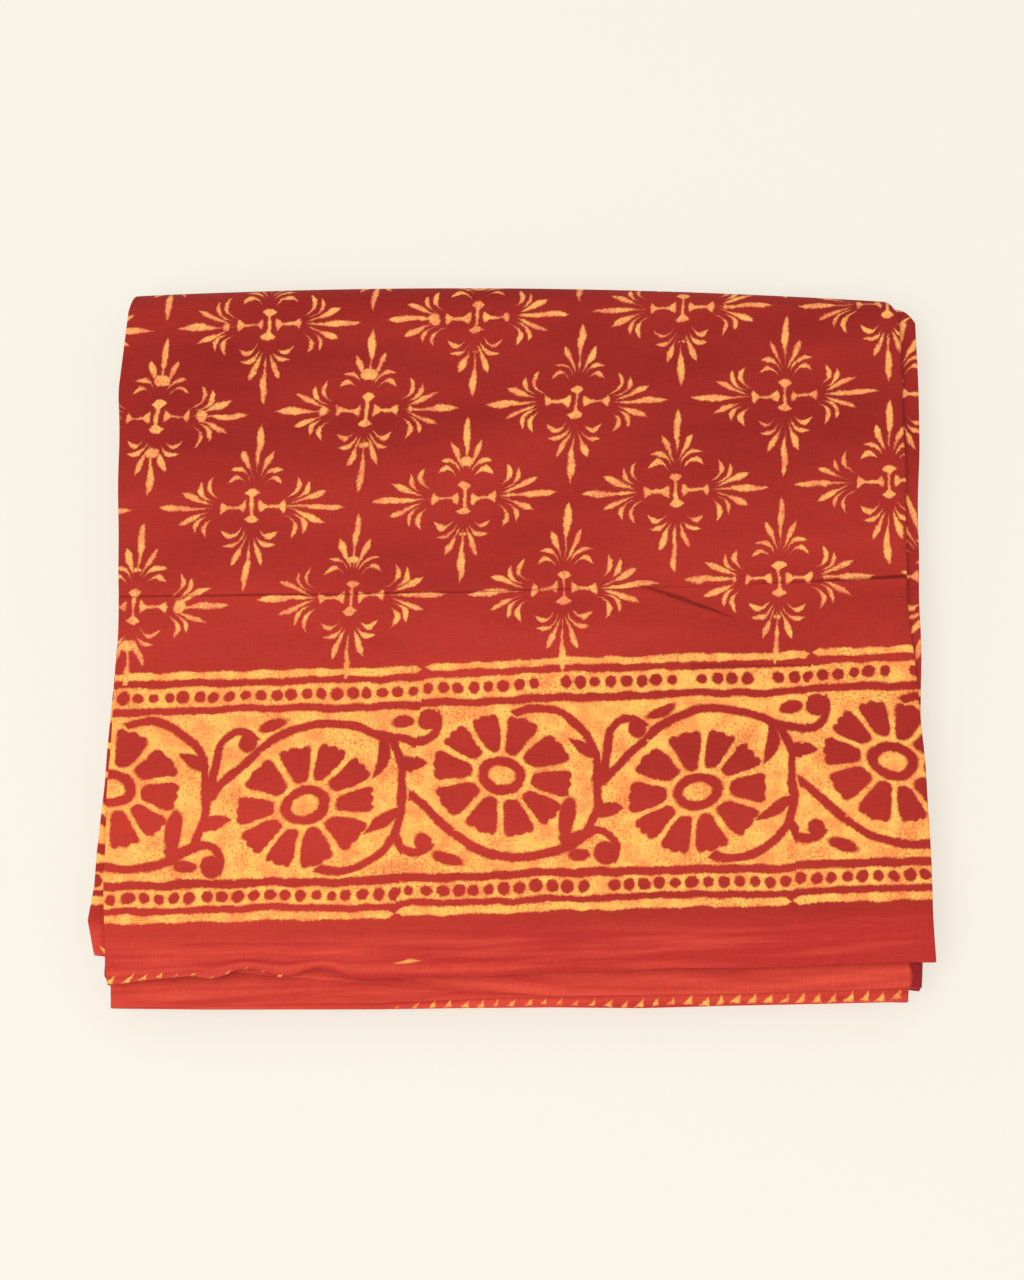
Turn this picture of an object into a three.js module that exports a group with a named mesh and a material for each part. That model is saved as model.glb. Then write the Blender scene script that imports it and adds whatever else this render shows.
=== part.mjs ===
// A length of cotton dress cloth, block printed by the dabu mud-resist way, folded for the shelf.
// Millimetres, +Z up. X runs across the pack and Y from its hems to its thick far fold. The origin
// is under the middle of the pack, on the surface that it lies on.
//
// The cloth is doubled selvedge to selvedge, folded back and forth into panels of one width, and
// the whole stack is then folded in half over its far edge. One layer of this solid is the doubled
// cloth, with its two plies lying together.

import * as THREE from "three";

// Driving dimensions of the cloth
const CLOTH_WIDTH = 1143; // from selvedge to selvedge
const HALF_WIDTH = CLOTH_WIDTH / 2;
const LAYER = 1.0; // thickness of the doubled cloth

// How closely the layers lie, from the middle of one to the middle of the next
const PITCH_AT_HEM = 1.32;
const PITCH_AT_FOLD = 1.46;
const PITCH_MORE_AT_SIDES = 0.05;
const INNERMOST = 0.75; // from the middle of the innermost layer to the middle of the stack

// Where the stack swells, towards its far fold and towards its sides
const SWELL = { fromY: -130, toY: 130, fromX: 100, toX: 160 };

// The line of the far fold: its furthest reach, and how far it falls back, so far from its middle
const FOLD_Y = 162;
const FOLD_BOW = { middleX: -20, reach: 150, falls: 4.8 };

// The cloth's turns in its own order, its cut ends first and last. hemY is where its selvedges
// pass, and the rest is the X of the side there: at the hem, low on the face, at an old crease
// across it, near its top, where the far fold begins, at that fold's reach, at the doubled edge.
const TURNS = [
  { hemY: -140, hem: -154.4, low: -158.2, crease: -158, top: -163, fold: -160.6, far: -157, back: -158 },
  { hemY: -130.4, hem: 162.2, low: 163.4, crease: 159.4, top: 162, fold: 162.4, far: 156, back: 160 },
  { hemY: -127.4, hem: -162.6, low: -161.2, crease: -156.4, top: -161, fold: -158.4, far: -156, back: -157 },
  { hemY: -139.8, hem: 157, low: 160.8, crease: 164.4, top: 168.8, fold: 169.4, far: 162, back: 161 },
  { hemY: -147.4, hem: -153.8, low: -156.4, crease: -156, top: -159.6, fold: -158, far: -156, back: -155 },
  { hemY: -144.8, hem: 150.8, low: 157.6, crease: 157.6, top: 161, fold: 161.6, far: 160, back: 158 },
  { hemY: -138, hem: -155, low: -158, crease: -157, top: -158.6, fold: -157, far: -155.6, back: -158 },
  { hemY: -143, hem: 153.6, low: 158.2, crease: 159.6, top: 164.4, fold: 164, far: 158.4, back: 158 },
  { hemY: -140, hem: -154.4, low: -157, crease: -155.6, top: -159.4, fold: -158.6, far: -157, back: -156 },
];
const PANELS = TURNS.length - 1;

// Those places as shares of the way up the face, from the hem to where the far fold begins
const PLACES = { hem: 0, low: 0.2, crease: 0.56, top: 0.87, fold: 1 };

// The old crease stands up as a low ridge across the topmost panel, higher at its right end
const CREASE = { leftX: -160, rightX: 160, heightAtLeft: 0.5, heightAtRight: 1.0 };

// Where the solid has its rows of points, and how many steps its panels and turns have
const FACE_ROWS = [0, 0.1, PLACES.low, 0.37, 0.54, PLACES.crease, 0.58, 0.72, PLACES.top, 0.94];
const BEND_STEPS = 10;
const BACK_ROWS = [0.12, 0.4, 0.72, 1];
const PANEL_STEPS = 5;
const TURN_STEPS = 5;

const { lerp, inverseLerp, smoothstep } = THREE.MathUtils;

function pitch(x, y) {
  const far = smoothstep(y, SWELL.fromY, SWELL.toY);
  const side = smoothstep(Math.abs(x), SWELL.fromX, SWELL.toX);
  return lerp(PITCH_AT_HEM, PITCH_AT_FOLD, far) + PITCH_MORE_AT_SIDES * side;
}

// From the middle of the stack to the middle of a layer, 0 being the outermost. In a turn, the
// cloth passes from one whole number to the next.
function depth(layer, x, y) {
  return INNERMOST + (PANELS - 1 - layer) * pitch(x, y);
}

// Height of the middle of the stack, which lets the outermost layer lie flat on the surface
function stackMiddle(x, y) {
  return depth(0, x, y) + LAYER / 2;
}

// Where the flat layers end and the far fold begins
function bendY(x) {
  const bow = FOLD_BOW.falls * ((x - FOLD_BOW.middleX) / FOLD_BOW.reach) ** 2;
  return FOLD_Y - bow - stackMiddle(x, FOLD_Y);
}

// The rows of points, from the selvedges over the far fold to the doubled edge beneath
const STATIONS = [
  ...FACE_ROWS.map((share) => ({ part: "face", share })),
  ...Array.from({ length: BEND_STEPS + 1 }, (_, step) => ({ part: "bend", share: step / BEND_STEPS })),
  ...BACK_ROWS.map((share) => ({ part: "back", share })),
];

// X of a turn's outer side in a row of points
function sideX(turn, station) {
  if (station.part === "back") {
    return lerp(turn.far, turn.back, station.share);
  }
  if (station.part === "bend") {
    return lerp(turn.fold, turn.far, Math.min(1, 2 * station.share));
  }
  const names = Object.keys(PLACES);
  const next = names.findIndex((name) => PLACES[name] > station.share);
  const [from, to] = [names[next - 1], names[next]];
  return lerp(turn[from], turn[to], inverseLerp(PLACES[from], PLACES[to], station.share));
}

// Y of the cloth at x, in a row of points whose selvedges pass at hemY
function rowY(station, hemY, x, layer) {
  const start = bendY(x);
  if (station.part === "face") {
    return lerp(hemY, start, station.share);
  }
  if (station.part === "bend") {
    return start;
  }
  const left = HALF_WIDTH - (start - hemY) - Math.PI * depth(layer, x, FOLD_Y);
  return start - left * station.share;
}

// How far the old crease lifts the cloth
function creaseLift(station, x, layer) {
  if (station.part !== "face" || station.share !== PLACES.crease) {
    return 0;
  }
  const across = inverseLerp(CREASE.leftX, CREASE.rightX, x);
  return lerp(CREASE.heightAtLeft, CREASE.heightAtRight, across) * Math.max(0, 1 - 2 * layer);
}

// From the stack to the pack: a point at x and y, and so far from the middle of the stack
function placed(station, x, y, away) {
  const middle = stackMiddle(x, y);
  if (station.part === "face") {
    return new THREE.Vector3(x, y, middle + away);
  }
  if (station.part === "back") {
    return new THREE.Vector3(x, y, middle - away);
  }
  const angle = Math.PI * station.share;
  return new THREE.Vector3(x, y + away * Math.sin(angle), middle + away * Math.cos(angle));
}

// Both faces of the cloth where its middle is at x in a layer, along its normal (nx, nz)
function bothFaces(station, hemY, x, layer, nx, nz) {
  const y = rowY(station, hemY, x, layer);
  const away = depth(layer, x, y) + creaseLift(station, x, layer);
  return [LAYER / 2, -LAYER / 2].map((half) => placed(station, x + half * nx, y, away + half * nz));
}

// Where a turn's centre is in a row, with its radius at the cloth's middle. An end has no radius.
function turnShape(turn, index, station) {
  const x = sideX(turn, station);
  const side = Math.sign(x);
  if (index === 0 || index === PANELS) {
    return { hemY: turn.hemY, side, centreX: x, radius: 0 };
  }
  const radius = pitch(x, rowY(station, turn.hemY, x, index)) / 2;
  return { hemY: turn.hemY, side, centreX: x - side * (radius + LAYER / 2), radius };
}

// One row of the folded cloth, from its first cut end to its last
function clothRow(station) {
  const shapes = TURNS.map((turn, index) => turnShape(turn, index, station));
  const points = [];
  for (let panel = 0; panel < PANELS; panel += 1) {
    const face = panel % 2 === 0 ? 1 : -1;
    const from = shapes[panel];
    const to = shapes[panel + 1];
    for (let step = 0; step <= PANEL_STEPS; step += 1) {
      const x = lerp(from.centreX, to.centreX, step / PANEL_STEPS);
      const hemY = lerp(from.hemY, to.hemY, step / PANEL_STEPS);
      points.push(bothFaces(station, hemY, x, panel, 0, face));
    }
    const turnSteps = panel < PANELS - 1 ? TURN_STEPS : 0;
    for (let step = 1; step < turnSteps; step += 1) {
      const angle = (Math.PI * step) / TURN_STEPS;
      const x = to.centreX + to.side * to.radius * Math.sin(angle);
      const layer = panel + (1 - Math.cos(angle)) / 2;
      const nx = face * to.side * Math.sin(angle);
      points.push(bothFaces(station, to.hemY, x, layer, nx, face * Math.cos(angle)));
    }
  }
  return points;
}

// A closed sheet from rows of points, each with its two faces
function closedSheet(rows) {
  const long = rows.length;
  const wide = rows[0].length;
  const positions = rows.flat(2).flatMap((point) => point.toArray());
  const at = (r, c, face) => 2 * (r * wide + c) + face;
  const index = [];
  const quad = (a, b, c, d) => index.push(a, b, c, a, c, d);
  for (let r = 0; r < long - 1; r += 1) {
    for (let c = 0; c < wide - 1; c += 1) {
      quad(at(r, c, 0), at(r, c + 1, 0), at(r + 1, c + 1, 0), at(r + 1, c, 0));
      quad(at(r, c, 1), at(r + 1, c, 1), at(r + 1, c + 1, 1), at(r, c + 1, 1));
    }
    quad(at(r, 0, 0), at(r + 1, 0, 0), at(r + 1, 0, 1), at(r, 0, 1));
    quad(at(r, wide - 1, 1), at(r + 1, wide - 1, 1), at(r + 1, wide - 1, 0), at(r, wide - 1, 0));
  }
  for (let c = 0; c < wide - 1; c += 1) {
    quad(at(0, c, 1), at(0, c + 1, 1), at(0, c + 1, 0), at(0, c, 0));
    quad(at(long - 1, c, 0), at(long - 1, c + 1, 0), at(long - 1, c + 1, 1), at(long - 1, c, 1));
  }
  const geometry = new THREE.BufferGeometry();
  geometry.setAttribute("position", new THREE.Float32BufferAttribute(positions, 3));
  geometry.setIndex(index);
  return geometry;
}

function foldedCloth() {
  const geometry = closedSheet(STATIONS.map(clothRow));
  geometry.computeBoundingBox();
  const { min, max } = geometry.boundingBox;
  geometry.translate(-(min.x + max.x) / 2, -(min.y + max.y) / 2, -min.z);
  geometry.computeVertexNormals();
  const material = new THREE.MeshStandardMaterial({ color: 0xa62b29, roughness: 0.9, metalness: 0 });
  const mesh = new THREE.Mesh(geometry, material);
  mesh.name = "folded_cloth";
  return mesh;
}

const pack = new THREE.Group();
pack.add(foldedCloth());

export default pack;
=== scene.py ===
"""Looks of a folded length of dabu-printed dress cloth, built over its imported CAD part.

The cloth is one thin sheet, doubled selvedge to selvedge, folded back and forth into panels and
then folded in half over its far edge. Its print is drawn by nodes from the cloth's own
coordinates: metres along it and metres across it from its first selvedge.
"""

import math
from collections import namedtuple

import bpy
import numpy as np
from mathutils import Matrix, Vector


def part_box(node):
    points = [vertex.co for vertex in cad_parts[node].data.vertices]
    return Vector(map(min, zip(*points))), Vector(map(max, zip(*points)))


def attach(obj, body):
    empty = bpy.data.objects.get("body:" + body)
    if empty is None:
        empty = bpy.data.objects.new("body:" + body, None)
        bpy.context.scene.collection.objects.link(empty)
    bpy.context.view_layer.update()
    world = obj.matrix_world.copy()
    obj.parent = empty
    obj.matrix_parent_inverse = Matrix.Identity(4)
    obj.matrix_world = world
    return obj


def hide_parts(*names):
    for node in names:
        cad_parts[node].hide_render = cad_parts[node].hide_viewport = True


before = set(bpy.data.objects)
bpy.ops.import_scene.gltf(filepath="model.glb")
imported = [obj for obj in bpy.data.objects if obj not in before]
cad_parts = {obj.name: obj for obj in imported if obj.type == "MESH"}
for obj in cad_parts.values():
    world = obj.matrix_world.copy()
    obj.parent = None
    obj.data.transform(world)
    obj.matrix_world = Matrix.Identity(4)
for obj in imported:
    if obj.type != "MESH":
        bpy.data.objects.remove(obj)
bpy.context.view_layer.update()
NODE = "folded_cloth"
MM = 0.001

# The cloth, and how its plies and layers lie
CLOTH_WIDTH = 1143 * MM
HALF_WIDTH = CLOTH_WIDTH / 2
LAYER = 1.0 * MM  # the doubled cloth
PLY = 0.42 * MM
PLY_FROM_MIDDLE = (LAYER - PLY) / 2
PITCH_AT_HEM = 1.32 * MM
PITCH_AT_FOLD = 1.46 * MM
PITCH_MORE_AT_SIDES = 0.05 * MM
INNERMOST = 0.75 * MM  # from the middle of the innermost layer to the middle of the stack
SWELL_FROM_Y, SWELL_TO_Y = -130 * MM, 130 * MM
SWELL_FROM_X, SWELL_TO_X = 100 * MM, 160 * MM

# The line of the far fold
FOLD_Y = 162 * MM
BOW_MIDDLE_X = -20 * MM
BOW_REACH = 150 * MM
BOW_FALLS = 4.8 * MM

# The cloth's turns in its own order, in millimetres as in the part: where the selvedges pass,
# then the X of the side at the hem, low on the face, at the old crease, near the top, where the
# far fold begins, at that fold's reach and at the doubled edge beneath
TURN_COLUMNS = ("hem_y", "hem", "low", "crease", "top", "fold", "far", "back")
TURN_TABLE = [
    (-140, -154.4, -158.2, -158, -163, -160.6, -157, -158),
    (-130.4, 162.2, 163.4, 159.4, 162, 162.4, 156, 160),
    (-127.4, -162.6, -161.2, -156.4, -161, -158.4, -156, -157),
    (-139.8, 157, 160.8, 164.4, 168.8, 169.4, 162, 161),
    (-147.4, -153.8, -156.4, -156, -159.6, -158, -156, -155),
    (-144.8, 152.0, 157.6, 157.6, 161, 161.6, 160, 158),
    (-138, -155, -158, -157, -158.6, -157, -155.6, -158),
    (-143, 151.4, 158.2, 159.6, 164.4, 164, 158.4, 158),
    (-140, -154.4, -157, -155.6, -159.4, -158.6, -157, -156),
]
Turn = namedtuple("Turn", TURN_COLUMNS)
TURNS = [Turn(*(value * MM for value in row)) for row in TURN_TABLE]
PANELS = len(TURNS) - 1
PLACES = {"hem": 0.0, "low": 0.2, "crease": 0.56, "top": 0.87, "fold": 1.0}

# How finely the sheet is cut: steps along each part, and the shares of the face round its creases
TOP_PANEL_STEPS = 104
HIDDEN_PANEL_STEPS = 9
TURN_STEPS = 6
FACE_STEPS = 64
CREASED_SHARES = (0.508, 0.584)
CREASED_STEPS = 54
BEND_STEPS = 16
BACK_STEPS = 6
DOUBLED_EDGE_STEPS = 4
INNER_FACE_STEPS = 20

# Marks of handling on the topmost panel, in millimetres: from one end to the other, the height
# of its lips, how far they fade above and below it, and how deep its groove is, as a share of them
CREASE_COLUMNS = ("x0", "y0", "x1", "y1", "height", "above", "below", "groove")
CREASE_TABLE = [
    (-170, 18.3, 51, 22.4, 0.75, 5, 2.2, 1.0),
    (49, 23.4, 86, 11.0, 1.0, 4, 2.4, 1.0),
    (44, 22.4, 108, 24.6, 0.55, 5, 2.2, 0.8),
    (96, 24.3, 172, 27.6, 1.1, 6, 2.4, 1.0),
    (-126, -137.6, -72, -135.4, 1.3, 6, 6, 0.0),
    (-150, 112.0, -60, 118.0, 0.3, 14, 12, 0.0),
    (20, 70.0, 120, 74.0, 0.3, 12, 12, 0.0),
]
Crease = namedtuple("Crease", CREASE_COLUMNS)
CREASES = [Crease(*(value * MM for value in row[:-1]), row[-1]) for row in CREASE_TABLE]
GROOVE_WIDTH = 0.55 * MM
HEM_WAVE = 0.6 * MM
SAGS = {2: 8.3 * MM, 4: 1.2 * MM}  # of the third and the fifth panel's hem

# The pucker in the topmost panel's hem, and the stretches of X where it grows, swings and fades
PUCKER_CREST_X = -101.8 * MM
PUCKER_PITCH = 28.8 * MM
PUCKER_RISE = 2.9 * MM
PUCKER_SWING = 1.9 * MM
PUCKER_REACH = 10 * MM
PUCKER_GROWS = (-165 * MM, -120 * MM)
PUCKER_SWINGS = (-128 * MM, -110 * MM)
PUCKER_FADES = (-70 * MM, -52 * MM)

# Where a turn's side leaves the part's straight lines: the turn, the share of the face where it
# does so most, how far off that ends in shares of the face, how far it moves in millimetres, and
# how steeply its ends fade
SIDE_NUDGES = [(2, 0.0, 0.045, 2.4, 1), (2, 0.045, 0.035, -1.5, 1), (0, 0.09, 0.09, -1.1, 4)]
SIDE_WAVE = 0.3 * MM
TOP_SWELL = 0.5 * MM


def lerp(a, b, share):
    return a + (b - a) * share


def smoothstep(value, low, high):
    share = np.clip((value - low) / (high - low), 0, 1)
    return share * share * (3 - 2 * share)


# The folded form, as the part's source has it


def pitch(x, y):
    far = smoothstep(y, SWELL_FROM_Y, SWELL_TO_Y)
    side = smoothstep(np.abs(x), SWELL_FROM_X, SWELL_TO_X)
    return lerp(PITCH_AT_HEM, PITCH_AT_FOLD, far) + PITCH_MORE_AT_SIDES * side


def depth(layer, x, y):
    """From the middle of the stack to the middle of a layer, 0 being the outermost."""
    return INNERMOST + (PANELS - 1 - layer) * pitch(x, y)


def stack_middle(x, y):
    return depth(0, x, y) + LAYER / 2


def bend_start(x):
    bow = BOW_FALLS * ((x - BOW_MIDDLE_X) / BOW_REACH) ** 2
    return FOLD_Y - bow - stack_middle(x, FOLD_Y)


# A row of points: its part of the way, its share of that part, and how far the cloth has turned
# round its doubled edge, 0 on the outer ply and pi on the inner one
Row = namedtuple("Row", ("part", "share", "turned"))


def cloth_rows():
    face = np.linspace(0, 1, FACE_STEPS, endpoint=False)
    plain = face[(face < CREASED_SHARES[0] - 0.004) | (face > CREASED_SHARES[1] + 0.004)]
    face = np.sort(np.concatenate([plain, np.linspace(*CREASED_SHARES, CREASED_STEPS)]))
    bend = np.linspace(0, 1, BEND_STEPS + 1)
    back = np.linspace(0, 1, BACK_STEPS + 1)[1:]
    rows = [Row("face", share, 0.0) for share in face]
    rows += [Row("bend", share, 0.0) for share in bend]
    rows += [Row("back", share, 0.0) for share in back]
    edge = [math.pi * step / DOUBLED_EDGE_STEPS for step in range(1, DOUBLED_EDGE_STEPS)]
    rows += [Row("back", 1.0, turned) for turned in edge]
    rows += [Row("back", share, math.pi) for share in back[::-1]]
    rows += [Row("bend", share, math.pi) for share in bend[::-1]]
    inner = np.linspace(0, 1, INNER_FACE_STEPS, endpoint=False)
    rows += [Row("face", share, math.pi) for share in inner[::-1]]
    return rows


def side_x(index, row):
    """X of a turn's outer side in a row, a little wavy along the face."""
    turn = TURNS[index]
    if row.part == "back":
        return lerp(turn.far, turn.back, row.share)
    if row.part == "bend":
        return lerp(turn.fold, turn.far, min(1.0, 2 * row.share))
    shares = list(PLACES.values())
    sides = [getattr(turn, name) for name in PLACES]
    wave = math.sin(17 * row.share + 1.9 * index) + 0.6 * math.sin(41 * row.share + 2.3 * index)
    fade = min(1.0, 8 * (1 - row.share))
    x = float(np.interp(row.share, shares, sides)) + SIDE_WAVE * wave * fade
    for moved, share, reach, amount, steepness in SIDE_NUDGES:
        if moved == index:
            faded = steepness * (1 - abs(row.share - share) / reach)
            x += amount * MM * min(max(faded, 0.0), 1.0)
    return x


def row_y(row, hem_y, x, layer):
    start = bend_start(x)
    if row.part == "face":
        from_hem = row.share * (start - hem_y)
        drawn_up = pucker(x) * np.maximum(0, 1 - from_hem / PUCKER_REACH) * (layer == 0)
        return hem_y + from_hem + drawn_up
    if row.part == "bend":
        return start
    left = HALF_WIDTH - (start - hem_y) - math.pi * depth(layer, x, FOLD_Y)
    return start - left * row.share


def across_cloth(row, hem_y, x, layer):
    """How far a point is from the outer ply's selvedge, along the cloth."""
    start = bend_start(x)
    bend = math.pi * depth(layer, x, FOLD_Y)
    if row.part == "face":
        across = row.share * (start - hem_y)
    elif row.part == "bend":
        across = start - hem_y + row.share * bend
    else:
        flat = start - hem_y + bend
        across = flat + row.share * (HALF_WIDTH - flat)
    return np.where(row.turned < math.pi / 2, across, CLOTH_WIDTH - across)


def crease_height(crease, x, y):
    span_x = crease.x1 - crease.x0
    span_y = crease.y1 - crease.y0
    length = math.hypot(span_x, span_y)
    along = ((x - crease.x0) * span_x + (y - crease.y0) * span_y) / length ** 2
    off = ((y - crease.y0) * span_x - (x - crease.x0) * span_y) / length
    ends = smoothstep(along, -0.05, 0.12) * (1 - smoothstep(along, 0.85, 1.05))
    fade = np.where(off > 0, crease.above, crease.below)
    groove = 1 - crease.groove * np.exp(-((off / GROOVE_WIDTH) ** 2))
    return crease.height * ends * groove * np.exp(-((off / fade) ** 2))


def top_lift(row, x, y, layer):
    """How far the topmost panel stands up, in its creases, its loose hem and a slow swell."""
    if row.part == "back":
        return np.zeros_like(x)
    if row.part == "bend":
        y = bend_start(x)
    lift = sum(crease_height(crease, x, y) for crease in CREASES)
    swell = 1 + np.sin(x / (38 * MM) + 1.2) * np.sin(y / (46 * MM) + 0.4)
    lift = lift + TOP_SWELL / 2 * swell
    fade = 1.0 - smoothstep(row.share, 0.0, 0.5) if row.part == "bend" else 1.0
    return lift * fade * np.maximum(0, 1 - 2 * layer)


def pucker(x):
    """How far the flap's hem is drawn up towards its left, with a few short waves."""
    waves = np.cos(math.tau * (x - PUCKER_CREST_X) / PUCKER_PITCH)
    rise = smoothstep(x, *PUCKER_GROWS) * (1 - smoothstep(x, *PUCKER_FADES))
    return rise * (PUCKER_RISE + PUCKER_SWING * waves * smoothstep(x, *PUCKER_SWINGS))


def hem_wave(x, panel, share):
    """How far a panel's hem is off its line, in a slow and a quick wave and in its sag."""
    slow = np.sin(x / (27 * MM) + 2.1 * panel)
    wave = HEM_WAVE * (0.6 * slow + 0.4 * np.sin(x / (9 * MM) + 1.3 * panel))
    return (wave - SAGS.get(panel, 0.0)) * math.sin(math.pi * share)


def row_columns(row):
    """The cloth's middle along one row: x, hem Y, layer, and the normal's x and its way out."""
    columns = []
    ends = []
    for index, turn in enumerate(TURNS):
        x = side_x(index, row)
        is_end = index in (0, PANELS)
        y = row_y(row, turn.hem_y, x, index)
        radius = 0 if is_end else float(pitch(x, y)) / 2
        side = math.copysign(1, x)
        inset = 0 if is_end else radius + LAYER / 2
        ends.append((x - side * inset, radius, side, turn.hem_y))
    for panel in range(PANELS):
        face = 1 if panel % 2 == 0 else -1
        from_x, _, _, from_hem = ends[panel]
        to_x, radius, side, to_hem = ends[panel + 1]
        steps = TOP_PANEL_STEPS if panel == 0 else HIDDEN_PANEL_STEPS
        for step in range(steps + 1):
            share = step / steps
            x = lerp(from_x, to_x, share)
            hem = lerp(from_hem, to_hem, share) + hem_wave(x, panel, share)
            columns.append((x, hem, panel, 0, face))
        turn_steps = TURN_STEPS if panel < PANELS - 1 else 0
        for step in range(1, turn_steps):
            angle = math.pi * step / TURN_STEPS
            x = to_x + side * radius * math.sin(angle)
            layer = panel + (1 - math.cos(angle)) / 2
            nx = face * side * math.sin(angle)
            columns.append((x, to_hem, layer, nx, face * math.cos(angle)))
    return np.array(columns).T


def row_points(row):
    """Front and back points of the sheet in one row, with its cloth coordinates."""
    x, hem, layer, nx, nd = row_columns(row)
    y = row_y(row, hem, x, layer)
    away = depth(layer, x, y) + top_lift(row, x, y, layer)
    middle = stack_middle(x, y)
    angle = {"face": 0.0, "bend": math.pi * row.share, "back": math.pi}[row.part]
    rise, reach = math.cos(angle), math.sin(angle)

    def placed(offset):
        off = offset * math.cos(row.turned)
        beyond = offset * math.sin(row.turned)
        out = away + off * nd
        return np.stack([x + off * nx, y + out * reach - beyond, middle + out * rise], axis=-1)

    front = placed(PLY_FROM_MIDDLE + PLY / 2)
    back = placed(PLY_FROM_MIDDLE - PLY / 2)
    core = np.stack([x, y, away], axis=-1)
    steps = np.linalg.norm(np.diff(core, axis=0), axis=1)
    along = x[0] + np.concatenate([[0], np.cumsum(steps)])
    across = across_cloth(row, hem, x, layer)
    return front, back, np.stack([along, across], axis=-1)


def sheet_mesh(name, rows):
    """A closed sheet from rows of front and back points, with the cloth's coordinates as UVs."""
    fronts, backs, cloth = (np.array(part) for part in zip(*rows))
    long, wide = fronts.shape[:2]
    count = long * wide
    number = np.arange(count).reshape(long, wide)
    a, b = number[:-1, :-1].ravel(), number[:-1, 1:].ravel()
    c, d = number[1:, 1:].ravel(), number[1:, :-1].ravel()
    faces = [np.stack([a, b, c, d], axis=1), np.stack([a, d, c, b], axis=1) + count]
    rim = np.concatenate([number[0, ::-1], number[1:, 0], number[-1, 1:], number[-2::-1, -1]])
    pairs = np.stack([rim[:-1], rim[1:]], axis=1)
    faces.append(np.concatenate([pairs, pairs[:, ::-1] + count], axis=1))
    quads = np.concatenate(faces)
    mesh = bpy.data.meshes.new(name)
    points = np.concatenate([fronts.reshape(-1, 3), backs.reshape(-1, 3)])
    mesh.from_pydata(points.tolist(), [], quads.tolist())
    flat = np.concatenate([cloth.reshape(-1, 2)] * 2)
    uv = mesh.uv_layers.new(name="cloth")
    uv.data.foreach_set("uv", flat[quads.ravel()].astype(np.float32).ravel())
    mesh.shade_smooth()
    mesh.set_sharp_from_angle(angle=math.radians(50))
    piece = bpy.data.objects.new(name, mesh)
    bpy.context.scene.collection.objects.link(piece)
    return piece


def part_origin():
    """Where the part's own origin lies in the frame, from the far right corner of its box."""
    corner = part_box(NODE)[1]
    return corner.x - max(turn.fold for turn in TURNS), corner.y - FOLD_Y


def build_cloth():
    piece = sheet_mesh("printed_cloth", [row_points(row) for row in cloth_rows()])
    piece.data.transform(piece.matrix_world.Translation((*part_origin(), 0)))
    return piece


# Arithmetic on node sockets


class Number:
    """A number at each point of the surface, from a socket of a node tree."""

    def __init__(self, tree, socket):
        self.tree = tree
        self.socket = socket

    def math(self, operation, *others, clamp=False):
        node = self.tree.nodes.new("ShaderNodeMath")
        node.operation = operation
        node.use_clamp = clamp
        for socket, value in zip(node.inputs, (self, *others)):
            if isinstance(value, Number):
                self.tree.links.new(value.socket, socket)
            else:
                socket.default_value = value
        return Number(self.tree, node.outputs[0])

    def __add__(self, other):
        return self.math("ADD", other)

    def __sub__(self, other):
        return self.math("SUBTRACT", other)

    def __mul__(self, other):
        return self.math("MULTIPLY", other)

    def __truediv__(self, other):
        return self.math("DIVIDE", other)

    def __neg__(self):
        return self * -1

    def __abs__(self):
        return self.math("ABSOLUTE")

    def times_plus(self, factor, extra):
        return self.math("MULTIPLY_ADD", factor, extra)


def smallest(first, *others):
    for other in others:
        first = first.math("MINIMUM", other)
    return first


def largest(first, *others):
    for other in others:
        first = first.math("MAXIMUM", other)
    return first


def blended(first, other, width):
    """The smaller of two, with a rounded corner between them."""
    return first.math("SMOOTH_MIN", other, width)


def length(x, y):
    return (x * x + y * y).math("SQRT")


def ramp(value, low, high):
    """0 below low and 1 above high."""
    return (value - low).math("DIVIDE", high - low, clamp=True)


# Shapes of the print: each is a distance in millimetres, below 0 inside the shape


def tilted(x, y, a, b, c):
    return x.times_plus(a, y.times_plus(b, c))


def leaf(x, y, start, end, width, bow=0.0, stem=True):
    """A leaf bowed to its left by bow, with a thin stem at its start unless it has none."""
    long = math.dist(start, end)
    ux, uy = (end[0] - start[0]) / long, (end[1] - start[1]) / long
    along = tilted(x, y, ux / long, uy / long, -(start[0] * ux + start[1] * uy) / long)
    off = tilted(x, y, -uy, ux, start[0] * uy - start[1] * ux)
    hump = along * (-along + 1)
    if bow:
        off = hump.times_plus(-4 * bow, off)
    if stem:
        return (hump * largest(along, 0.3)).times_plus(-3.375 * width, abs(off))
    return hump.times_plus(-2 * width, abs(off))


def bar(x, y, start, end, half_width):
    long = math.dist(start, end)
    ux, uy = (end[0] - start[0]) / long, (end[1] - start[1]) / long
    middle = ((start[0] + end[0]) / 2, (start[1] + end[1]) / 2)
    along = tilted(x, y, ux, uy, -(middle[0] * ux + middle[1] * uy))
    off = tilted(x, y, -uy, ux, middle[0] * uy - middle[1] * ux)
    return largest(abs(along) - long / 2, abs(off) - half_width)


def disc(x, y, centre, radius):
    return length(x - centre[0], y - centre[1]) - radius


def oval(x, y, centre, half_size, turn=0.0):
    c, s = math.cos(math.radians(turn)), math.sin(math.radians(turn))
    (cx, cy), (a, b) = centre, half_size
    u = tilted(x, y, c / a, s / a, -(cx * c + cy * s) / a)
    v = tilted(x, y, -s / b, c / b, (cx * s - cy * c) / b)
    return (length(u, v) - 1) * min(a, b)


def arc(x, y, centre, radius, half_width, keep):
    """A curved line on a circle, kept where keep's a x + b y is more than its c."""
    line = abs(disc(x, y, centre, radius)) - half_width
    a, b, c = keep
    return largest(line, tilted(x, y, -a, -b, c))


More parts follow.
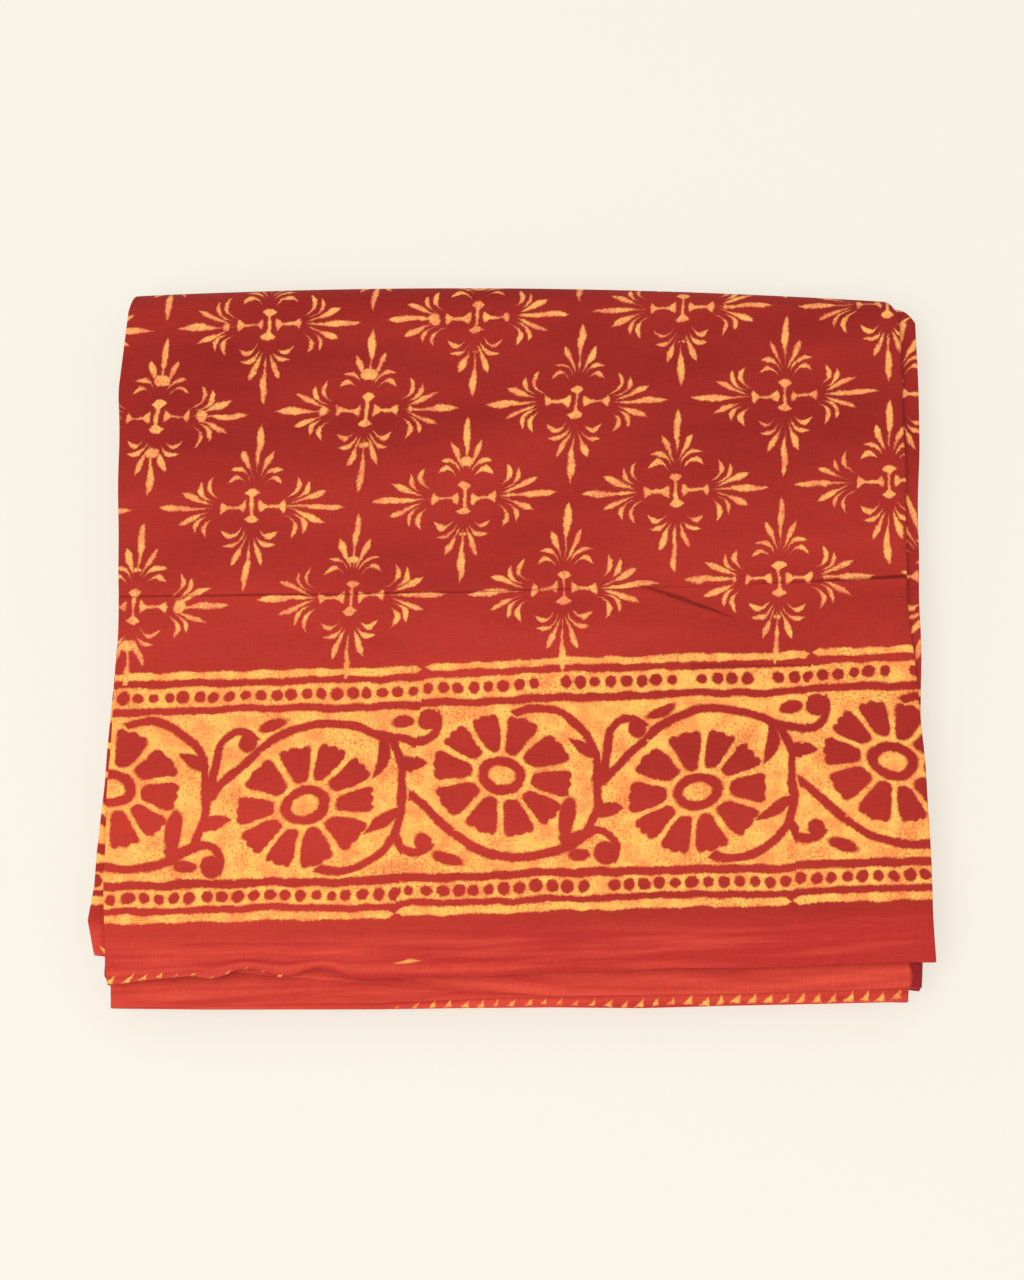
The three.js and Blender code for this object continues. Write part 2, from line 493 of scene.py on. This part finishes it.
def bone(off, along, half_long, waist, spread, half_thick, dome):
    """A bar with fanned and domed ends, from the distances off its line and along it."""
    fan = along.times_plus(-spread, off) + spread * waist
    cap = (off * off).times_plus(dome, along) - half_long
    return smallest(fan.math("SMOOTH_MAX", cap, 0.8), largest(off - half_thick, along - waist - 1.2))


def band(across, low, high):
    return abs(across - (low + high) / 2) - (high - low) / 2


# The field's figure: a cross of four palmettes round bone-shaped bars, mirrored both ways


def field_figure(x, y, blots):
    """The figure, with a blot of its own size where each palmette's stems meet."""
    on_right = x.math("GREATER_THAN", 0)
    on_top = y.math("GREATER_THAN", 0)
    side_blot = on_right.times_plus(blots[0] - blots[1], blots[1])
    end_blot = on_top.times_plus(blots[2] - blots[0], blots[0])
    x, y = abs(x), abs(y)
    parts = [
        bone(x, y, 7.6, 3.2, 1.15, 0.65, 0.2),
        bone(y, abs(x - 7.9), 5.4, 1.5, 0.8, 0.65, 0.07),
        leaf(x, y, (15.6, 0), (38.0, 0), 2.9),
        leaf(x, y, (16.8, 1.4), (29.6, 7.2), 2.5),
        leaf(x, y, (14.6, 4.2), (17.0, 13.6), 2.1, bow=-2.6),
        leaf(x, y, (17.4, 3.4), (22.0, 11.4), 2.0, bow=-1.9),
        leaf(x, y, (0, 15.6), (0, 36.4), 2.8),
        leaf(x, y, (1.6, 13.8), (6.2, 25.2), 2.5),
        leaf(x, y, (4.0, 10.2), (11.4, 10.4), 2.4, bow=2.7),
        leaf(x, y, (2.6, 12.4), (10.6, 16.6), 2.1, bow=1.9),
        disc(x, y * 0.8, (18.2, 0), 0) - (side_blot * 5.6 - 2.8),
        disc(x, y, (0.8, 16.2), 0) - (end_blot * 5.4 - 2.8),
    ]
    return smallest(*parts)


# The border's figure round one flower, from the middle of that flower. Every second flower is
# printed the other way up, with its scrolls nearer to its left.

FLOWER_PITCH = 76.8
FLOWER_OFF_MIDDLE = 4.5
SCROLL_SHIFT = 7.3
VINE = 1.4


def flower(x, y, flipped):
    radius = length(x, y)
    angle = y.math("ARCTAN2", x)
    uneven = (angle * 2 - math.radians(68)).math("SINE")
    petals = uneven.times_plus(0.11, angle) * (10 / math.tau) + (flipped * -0.22 + 0.54)
    sector = abs(petals.math("FRACT") - 0.5)
    side = sector * radius * (math.tau / 10)
    reach = (angle * 2 + math.radians(50)).math("SINE").times_plus(-1.9, radius)
    scallop = abs((side * (math.pi / 4.6)).math("COSINE"))
    tip = scallop.times_plus(-0.9, reach) - 24.5
    edge = radius.times_plus(-0.268, side) + 0.6
    petal = edge.math("SMOOTH_MAX", largest(tip, -reach + 10.6), 4.5)
    ring = largest(oval(x, y, (0, 0), (9.5, 7.2), 17), -oval(x, y, (0, 0), (6.1, 4.1), 17))
    return smallest(petal, ring)


def tendril(x, y):
    """The scroll that reaches into the next flower's room, with its two seeds."""
    parts = [
        bar(x, y, (29.5, 26.8), (44.4, 23.3), 1.3),
        arc(x, y, (44.4, 30.6), 7.3, 1.35, (0.8, -0.6, 19.6)),
        disc(x, y, (47.9, 32.2), 4.2),
        oval(x, y, (37.6, 32.2), (4.1, 2.3), 5),
    ]
    return smallest(*parts)


def curl(x, y):
    parts = [
        bar(x, y, (-37.6, 4), (-34.5, 23.6), 1.5),
        arc(x, y, (-27.0, 21.6), 7.9, 1.35, (-0.3, 0.954, 31.0)),
        oval(x, y, (-23.5, 25.6), (3.2, 3.6), 0),
        oval(x, y, (-13.9, 31.9), (5.3, 2.0), 18),
    ]
    return smallest(*parts)


HIDDEN = 99  # a distance at which nothing of a shape shows
FLIPPED_VINE_FROM = -36.8


def vine_over(x, y, flipped):
    """The vine that rises on the left. It starts a little later if the flower is flipped."""
    rising = bar(x, y, (-40.2, 2.8), (-20.1, 21.2), VINE)
    before_it = flipped.times_plus(HIDDEN, -x - (HIDDEN - FLIPPED_VINE_FROM))
    over = arc(x, y, (8.5, -9.5), 42, VINE, (-0.065, 0.998, 22.5))
    return smallest(largest(rising, before_it), over)


def vine_under(x, y):
    """The vine that comes down on the right, with its outer leaf."""
    parts = [
        leaf(x, y, (47.4, 14.6), (34.6, 17.4), 5.2, bow=0.8, stem=False),
        bar(x, y, (37.1, -0.8), (37.7, 15.0), 1.4),
        arc(x, y, (12.8, -1.4), 24.4, 1.35, (0.67, -0.742, 21.3)),
    ]
    return smallest(*parts)


def vines(x, y, flipped):
    claw = leaf(x, y, (26.0, 10.8), (29.6, 28.0), 4.3, bow=-2.3, stem=False)
    bud = oval(x, y, (25.4, 18.2), (3.0, 7.8), 8)
    low_leaf = leaf(x, y, (23.0, -11.5), (39.0, -2.0), 4.4, bow=0.3, stem=False)
    short_leaf = leaf(x, y, (26.6, -13.0), (39.8, -5.0), 4.8, bow=0.3, stem=False)
    parts = [
        vine_over(x, y, flipped),
        vine_under(x, y),
        flipped.times_plus(bud - claw, claw),
        bar(x, y, (37.7, 13.8), (33.0, 25.4), 1.5),
        flipped.times_plus(short_leaf - low_leaf, low_leaf),
    ]
    return smallest(*parts)


def border_figure(x, y, flipped):
    before_x, before_y = x + FLOWER_PITCH, -y + 2 * FLOWER_OFF_MIDDLE
    not_flipped = -flipped + 1
    own_x = flipped.times_plus(SCROLL_SHIFT, x)
    own = blended(vines(x, y, flipped), smallest(curl(own_x, y), tendril(own_x, y)), 1.6)
    tendril_before = tendril(not_flipped.times_plus(SCROLL_SHIFT, before_x), before_y)
    before = blended(tendril_before, vine_under(before_x, before_y), 1.6)
    stem_after = flipped.times_plus(9, bar(x, before_y, (34.8, 21.0), (39.0, 28.6), 1.6))
    after = smallest(vine_over(x - FLOWER_PITCH, before_y, not_flipped), stem_after)
    return smallest(blended(own, before, 1.0), after, flower(x, y, flipped))


# Where the print lies on the cloth, in millimetres from its first selvedge. FIRST_FLOWER is where
# the first flower's middle is along the cloth, and FIRST_JOINT is where two blocks first meet.
BORDER_MIDDLE = 75.3
BORDER_HEIGHT = 99.1
BORDER_SPREAD = 102.5
LOWER_BY = 4.6  # nearer to the selvedge from the third panel on
LOWER_OVER = (400, 480)
JOINT_LEAN = 0.11
FOOT_LINE = (0, 3)
FOOT_DOTS = (5.9, 12.7)
MAIN_BAND = (16.3, 81.7)
TOP_DOTS = (85, 93)
TOP_LINE = (96.3, 99.1)
BLOCK = 2 * FLOWER_PITCH
BLOCK_STEP = 1.0
FIRST_FLOWER = -80.6
FIRST_JOINT = -45
DOT_PITCH = 6.05
DOT_ROWS = (9.3, 89)
FIELD_ORIGIN = (-19.4, 197.3)
FIELD_ROW = (86.55, 1.2)
FIELD_COLUMN = (4.8, 82.0)
FIGURE_LEAN = 0.06
FIELD_CLEAR = 135
BORDER_REACH = 121  # the border's own material ends here, in its uppermost red gap
SHADED_TURN_STRIP = (804.9, 811)  # painted shade on the plain edge, where the cloth turns for the third time
FIELD_THINNER = 0.16  # than the figures are charted
BORDER_THICKER = 0.38

# Teeth on the selvedge: where each stretch starts, where it is full, and how large it makes them
TEETH_ON_FLAP = [(-128, -146, 0.5), (-80, -84, 0.3)]
TEETH_ON_THIRD_HEM = [(455, 470, 0.7), (490, 500, -0.7)]
TEETH_ON_LOW_HEM = [(1222, 1240, 0.65), (1300, 1400, 0.35)]
TOOTH_PITCH = 6.8
LATER_TOOTH_PITCH = 6.1
LATER_TEETH_FROM = 400


def random_of(tree, *numbers):
    """Three random numbers from 0 to 1 for each set of whole numbers."""
    combine = tree.nodes.new("ShaderNodeCombineXYZ")
    noise = tree.nodes.new("ShaderNodeTexWhiteNoise")
    split = tree.nodes.new("ShaderNodeSeparateColor")
    for socket, number in zip(combine.inputs, numbers):
        tree.links.new(number.socket, socket)
    tree.links.new(combine.outputs[0], noise.inputs["Vector"])
    tree.links.new(noise.outputs["Color"], split.inputs[0])
    return [Number(tree, socket) for socket in split.outputs]


def noise_of(tree, x, y, scale_x, scale_y, detail=1.0, shift=0.0):
    """Smooth noise from 0 to 1 whose blots are about scale_x by scale_y."""
    combine = tree.nodes.new("ShaderNodeCombineXYZ")
    tree.links.new((x * (1 / scale_x) + shift).socket, combine.inputs[0])
    tree.links.new((y * (1 / scale_y) - shift).socket, combine.inputs[1])
    noise = tree.nodes.new("ShaderNodeTexNoise")
    noise.noise_dimensions = "2D"
    noise.inputs["Scale"].default_value = 1.0
    noise.inputs["Detail"].default_value = detail
    tree.links.new(combine.outputs[0], noise.inputs["Vector"])
    return Number(tree, noise.outputs["Fac"])


def field_print(tree, x, y):
    """Distance to the field's figures, on a half-drop lattice that leans a little."""
    (rx, ry), (cx, cy) = FIELD_ROW, FIELD_COLUMN
    area = rx * cy - ry * cx
    dx, dy = x - FIELD_ORIGIN[0], y - FIELD_ORIGIN[1]
    i = tilted(dx, dy, cy / area, -cx / area, 0)
    j = tilted(dx, dy, -ry / area, rx / area, 0)
    whole_i, whole_j = i.math("ROUND"), j.math("ROUND")
    half_i, half_j = i.math("FLOOR") + 0.5, j.math("FLOOR") + 0.5
    off = abs(i - whole_i) + abs(j - whole_j)
    is_half = off.math("GREATER_THAN", 0.5)
    cell_i = is_half.times_plus(half_i - whole_i, whole_i)
    cell_j = is_half.times_plus(half_j - whole_j, whole_j)
    chance = random_of(tree, cell_i, cell_j)
    local_i, local_j = i - cell_i, j - cell_j
    local_x = tilted(local_i, local_j, rx, cx, 0) + (chance[0] - 0.5) * 1.4
    local_y = tilted(local_i, local_j, ry, cy, 0) + (chance[1] - 0.5) * 1.4
    turn = (chance[2] - 0.5) * 0.04
    straight_x = (turn - FIGURE_LEAN).times_plus(local_y, local_x)
    figure = field_figure(straight_x, local_y - turn * local_x, random_of(tree, cell_j, cell_i))
    centre = tilted(cell_i, cell_j, ry, cy, FIELD_ORIGIN[1])
    from_edge = -abs(centre - CLOTH_WIDTH / MM / 2) + CLOTH_WIDTH / MM / 2
    return from_edge.math("LESS_THAN", FIELD_CLEAR).times_plus(HIDDEN, figure + FIELD_THINNER)


class BorderPlace:
    """Where a point is in the border: its level above the border's foot, and its block."""

    def __init__(self, x, y):
        spread = (x * (math.tau / 1270)).math("SINE") * 1.6 + BORDER_SPREAD
        lower = ramp(abs(x), *LOWER_OVER) * LOWER_BY
        level = (y - BORDER_MIDDLE + lower) * BORDER_HEIGHT / spread + BORDER_HEIGHT / 2
        in_block = (x - level * JOINT_LEAN - FIRST_JOINT) / BLOCK
        block = in_block.math("FLOOR")
        step = (block * 0.9 + 0.2).math("SINE") * BLOCK_STEP
        self.level = level - step
        self.from_joint = -abs((in_block - block) * BLOCK - BLOCK / 2) + BLOCK / 2

    def lines(self, *bands):
        """Thin bands, which taper off at each joint between two blocks."""
        shapes = [band(self.level, low, high) for low, high in bands]
        taper = -ramp(self.from_joint, 0, 3) + 1
        return taper.times_plus(1.7, smallest(*shapes))


def border_print(tree, x, y):
    """Distance to the border's yellow, x along it and y from the selvedge."""
    place = BorderPlace(x, y)
    level = place.level
    window = ((x - FIRST_FLOWER) / FLOWER_PITCH + 0.5).math("FLOOR")
    local_x = x - FIRST_FLOWER - window * FLOWER_PITCH
    flipped = (window / 2).math("FRACT") * 2
    middle = sum(MAIN_BAND) / 2
    local_y = (level - middle) * (flipped * -2 + 1) + FLOWER_OFF_MIDDLE
    figure = border_figure(local_x, local_y, flipped)
    dot_number = (x / DOT_PITCH).math("FLOOR")
    on_top = level.math("GREATER_THAN", BORDER_HEIGHT / 2)
    chance = random_of(tree, dot_number, on_top)
    dot_x = (x / DOT_PITCH - dot_number - 0.5) * DOT_PITCH + (chance[0] - 0.5) * 0.9
    dot_y = abs(level - sum(DOT_ROWS) / 2) - (DOT_ROWS[1] - DOT_ROWS[0]) / 2
    printed = chance[2].math("LESS_THAN", 0.96)
    dots = length(dot_x, dot_y) - (chance[1] * 0.5 + 2.15) * printed
    lines = place.lines(FOOT_LINE, TOP_LINE)
    dotted = largest(smallest(band(level, *FOOT_DOTS), band(level, *TOP_DOTS)), -dots)
    main = largest(band(level, *MAIN_BAND), -figure + BORDER_THICKER)
    return smallest(lines, dotted, main), level


def stepped(x, steps):
    """A number that changes twice along x, each time from a start to an end and by a size."""
    first, second = (ramp(x, start, end) * size for start, end, size in steps)
    return first + second


def selvedge_ticks(x, y):
    """Distance to the small slanting teeth that the block's edge leaves on parts of a selvedge."""
    stretches = (TEETH_ON_FLAP, TEETH_ON_THIRD_HEM, TEETH_ON_LOW_HEM)
    size = largest(*(stepped(x, stretch) for stretch in stretches))
    scale = largest(size, 0.1)
    later = x.math("GREATER_THAN", LATER_TEETH_FROM)
    pitch = later.times_plus(LATER_TOOTH_PITCH - TOOTH_PITCH, TOOTH_PITCH)
    tooth_x = (tilted(x, y, 1, -0.35, 0) / pitch).math("FRACT") * pitch / scale
    tooth_y = y / scale
    tooth = largest(tooth_y - tooth_x - 0.3, -tooth_y + 0.9, tooth_x - 4.0) * scale
    tooth = size.math("LESS_THAN", 0.12).times_plus(9, tooth)
    return smallest(tooth, leaf(x, y, (-44, 5.9), (-35.5, 6.3), 1.1, stem=False))


def crease_shade_line(x, y):
    """Distance to the bottoms of the sharp creases, where shade is painted, on the cloth as it lies
    flat.
    """
    parts = [
        leaf(x, y, (50, 157.2), (88, 142.4), 1.5, bow=0.5, stem=False),
        leaf(x, y, (116, 156.5), (250, 159.6), 1.6, stem=False),
        leaf(x, y, (-220, 159.2), (46, 155.8), 0.5, stem=False),
    ]
    return smallest(*parts)


def colour(red, green, blue):
    """A colour for the shader from the levels that a picture of it shows, out of 255."""
    levels = [value / 255 for value in (red, green, blue)]
    linear = [v / 12.92 if v <= 0.04045 else ((v + 0.055) / 1.055) ** 2.4 for v in levels]
    return (*linear, 1.0)


def mixed(tree, factor, first, second):
    """A colour between two, each a colour or the socket of one."""
    node = tree.nodes.new("ShaderNodeMix")
    node.data_type = "RGBA"
    for socket, value in zip((node.inputs[0], node.inputs[6], node.inputs[7]), (factor, first, second)):
        if isinstance(value, Number):
            tree.links.new(value.socket, socket)
        elif isinstance(value, bpy.types.NodeSocket):
            tree.links.new(value, socket)
        else:
            socket.default_value = value
    return node.outputs[2]


def printed_material(name, is_border):
    """Cotton with its ground of red dye and the yellow that the mud resist kept."""
    material = bpy.data.materials.new(name)
    material.use_nodes = True
    tree = material.node_tree
    shader = tree.nodes["Principled BSDF"]
    uv = tree.nodes.new("ShaderNodeUVMap")
    uv.uv_map = "cloth"
    split = tree.nodes.new("ShaderNodeSeparateXYZ")
    tree.links.new(uv.outputs[0], split.inputs[0])
    along = Number(tree, split.outputs[0]) * (1 / MM)
    across = Number(tree, split.outputs[1]) * (1 / MM)

    # The block's and the mud's unsteady edge
    wander_x = noise_of(tree, along, across, 13, 13) - 0.5
    wander_y = noise_of(tree, along, across, 13, 13, shift=31.7) - 0.5
    rough_x = noise_of(tree, along, across, 1.5, 1.5) - 0.5
    rough_y = noise_of(tree, along, across, 1.5, 1.5, shift=17.3) - 0.5
    x = rough_x.times_plus(0.9, wander_x.times_plus(2.2, along))
    y = rough_y.times_plus(0.9, wander_y.times_plus(2.2, across))

    # The second selvedge has the same border, printed from its own side
    width = CLOTH_WIDTH / MM
    sense = y.math("GREATER_THAN", width / 2) * -2 + 1
    from_selvedge = -abs(y - width / 2) + width / 2
    patchy = noise_of(tree, along, across, 8, 8, detail=2.0, shift=8.8)
    if is_border:
        distance, level = border_print(tree, x * sense, from_selvedge)
        distance = smallest(distance, selvedge_ticks(x, from_selvedge))
        spread = 0.6
    else:
        place = BorderPlace(x * sense, from_selvedge)
        edge = smallest(place.lines(TOP_LINE), band(place.level, *TOP_DOTS))
        distance = smallest(field_print(tree, x, y), edge)
        spread = 1.5
    distance = (patchy - 0.5).times_plus(spread, distance)
    yellow = ramp(-distance, -0.42, 0.42)

    # Dye that crept under the mud, in specks and clouds
    cloud = ramp(noise_of(tree, along, across, 24, 24, shift=5.1), 0.45, 0.75)
    speck = noise_of(tree, along, across, 1.0, 1.0, detail=2.0, shift=2.2)
    crept = ramp(cloud.times_plus(0.13, speck), 0.56, 0.74)
    orange = ramp(patchy, 0.36, 0.68)
    inside = ramp(from_selvedge, 127, 130)
    strong = mixed(tree, inside, colour(249, 186, 92), colour(251, 176, 98))
    weak = mixed(tree, inside, colour(244, 150, 80), colour(240, 140, 92))
    mud = mixed(tree, orange, strong, weak)
    mud = mixed(tree, crept * 0.62, mud, colour(208, 86, 54))

    # The red ground, darker towards the cloth's middle and further along it, streaked along its plain
    # edge
    deep = noise_of(tree, along, across, 110, 28, detail=2.0, shift=12.6)
    inward = ramp(from_selvedge, 60, 250)
    slant = ramp(along, -170, 170)
    slanting = slant * (0.26 if is_border else 0.04)
    ground_darkness = ramp(deep * 0.45 + inward * 0.40 + slanting, 0.125, 0.805)
    ground = mixed(tree, ground_darkness, colour(192, 58, 45), colour(138, 31, 28))
    if is_border:
        streak = noise_of(tree, along, across, 60, 3.6, detail=3.0, shift=4.4)
        # Painted light: the plain edge is made brighter on the panels beneath the flap, from 480 mm
        # along
        beneath = ramp(along, 480, 487)
        streak = ramp(beneath.times_plus(0.36, slant.times_plus(-0.32, streak)), 0.22, 0.72)
        plain = mixed(tree, streak, colour(180, 47, 41), colour(214, 75, 58))
        # Painted shade: a darker red strip on the plain edge where the cloth turns for the third time
        turn_shade_x = ramp(from_selvedge, 0, 13.5).times_plus(-2.4, along + 2.4)
        turn_shade = ramp(-band(turn_shade_x, *SHADED_TURN_STRIP), -0.6, 0.6)
        plain = mixed(tree, turn_shade, plain, colour(142, 36, 38))
        at_edge = -ramp(level + streak * 3, -9, -3) + 1
        ground = mixed(tree, at_edge, ground, plain)
    printed = mixed(tree, yellow, ground, mud)

    # Threads: slubs along both ways of the weave, and the weave itself
    warp = noise_of(tree, along, across, 7, 0.34)
    weft = noise_of(tree, along, across, 0.34, 7, shift=9.9)
    slubs = warp + weft
    brightness = slubs * 0.26 + 0.74
    # Painted shade: the field is darker along the bottoms of its sharp creases
    if not is_border:
        brightness = brightness * (ramp(-crease_shade_line(x, across), -0.35, 0.15) * -0.42 + 1)
    shade = tree.nodes.new("ShaderNodeHueSaturation")
    tree.links.new(printed, shade.inputs["Color"])
    tree.links.new(brightness.socket, shade.inputs["Value"])
    tree.links.new(shade.outputs[0], shader.inputs["Base Color"])
    weave = (along * (math.tau / 0.8)).math("SINE") * (across * (math.tau / 0.8)).math("SINE")
    bump = tree.nodes.new("ShaderNodeBump")
    bump.inputs["Strength"].default_value = 0.35
    bump.inputs["Distance"].default_value = 0.12 * MM
    tree.links.new((weave * 0.25 + slubs).socket, bump.inputs["Height"])
    tree.links.new(bump.outputs[0], shader.inputs["Normal"])
    shader.inputs["Roughness"].default_value = 0.9
    shader.inputs["Specular IOR Level"].default_value = 0.08
    shader.inputs["Sheen Weight"].default_value = 0.03
    shader.inputs["Sheen Roughness"].default_value = 0.5
    return material


def dress(cloth):
    """The field's material, and the border's for what lies near either selvedge."""
    mesh = cloth.data
    mesh.materials.append(printed_material("printed_cotton_field", is_border=False))
    mesh.materials.append(printed_material("printed_cotton_border", is_border=True))
    across = np.empty(2 * len(mesh.loops), dtype=np.float32)
    mesh.uv_layers["cloth"].data.foreach_get("uv", across)
    middles = across[1::2].reshape(-1, 4).mean(axis=1)
    from_selvedge = np.minimum(middles, CLOTH_WIDTH - middles)
    is_border = from_selvedge < BORDER_REACH * MM
    mesh.polygons.foreach_set("material_index", is_border.astype(np.int32))


# The floor, the light and the camera

FLOOR_SIZE = 6.0
CAMERA_ELEVATION = math.radians(70)
CAMERA_DISTANCE = 1.026
LENS = 72.2
AIM_HEIGHT = 22.9 * MM  # the pack's top


def floor_material():
    """Pale paper, partly lit from beneath so that shadows on it stay faint."""
    material = bpy.data.materials.new("floor_paper")
    material.use_nodes = True
    shader = material.node_tree.nodes["Principled BSDF"]
    paper = colour(248, 242, 230)
    shader.inputs["Base Color"].default_value = (*(level * 0.3 for level in paper[:3]), 1)
    shader.inputs["Emission Color"].default_value = paper
    shader.inputs["Emission Strength"].default_value = 0.675
    shader.inputs["Roughness"].default_value = 0.9
    shader.inputs["Specular IOR Level"].default_value = 0.0
    return material


def add_floor():
    half = FLOOR_SIZE / 2
    mesh = bpy.data.meshes.new("floor")
    corners = [(-half, -half, 0), (half, -half, 0), (half, half, 0), (-half, half, 0)]
    mesh.from_pydata(corners, [], [(0, 1, 2, 3)])
    mesh.materials.append(floor_material())
    floor = bpy.data.objects.new("floor", mesh)
    bpy.context.scene.collection.objects.link(floor)


def add_light(name, place, aim, size, watts):
    data = bpy.data.lights.new(name, "AREA")
    data.shape = "SQUARE"
    data.size = size
    data.energy = watts
    light = bpy.data.objects.new(name, data)
    light.location = place
    direction = light.location - type(light.location)(aim)
    light.rotation_euler = direction.to_track_quat("Z", "Y").to_euler()
    bpy.context.scene.collection.objects.link(light)


def add_lights():
    world = bpy.data.worlds.new("studio")
    world.use_nodes = True
    background = world.node_tree.nodes["Background"]
    background.inputs["Color"].default_value = (1.0, 1.0, 1.0, 1)
    background.inputs["Strength"].default_value = 0.72
    bpy.context.scene.world = world
    add_light("key", (-0.6, -0.9, 2.0), (0, 0, 0), 1.6, 30.5)


def add_camera(origin):
    data = bpy.data.cameras.new("camera")
    data.lens = LENS
    camera = bpy.data.objects.new("camera", data)
    camera.location = (
        origin[0],
        origin[1] - CAMERA_DISTANCE * math.cos(CAMERA_ELEVATION),
        AIM_HEIGHT + CAMERA_DISTANCE * math.sin(CAMERA_ELEVATION),
    )
    camera.rotation_euler = (math.pi / 2 - CAMERA_ELEVATION, 0, 0)
    bpy.context.scene.collection.objects.link(camera)
    bpy.context.scene.camera = camera


cloth = build_cloth()
dress(cloth)
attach(cloth, "root")
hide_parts(NODE)
cloth_length = max(point.uv.x for point in cloth.data.uv_layers["cloth"].data) - TURNS[0].hem
bpy.context.scene.view_settings.view_transform = "Standard"
add_floor()
add_lights()
add_camera(part_origin())
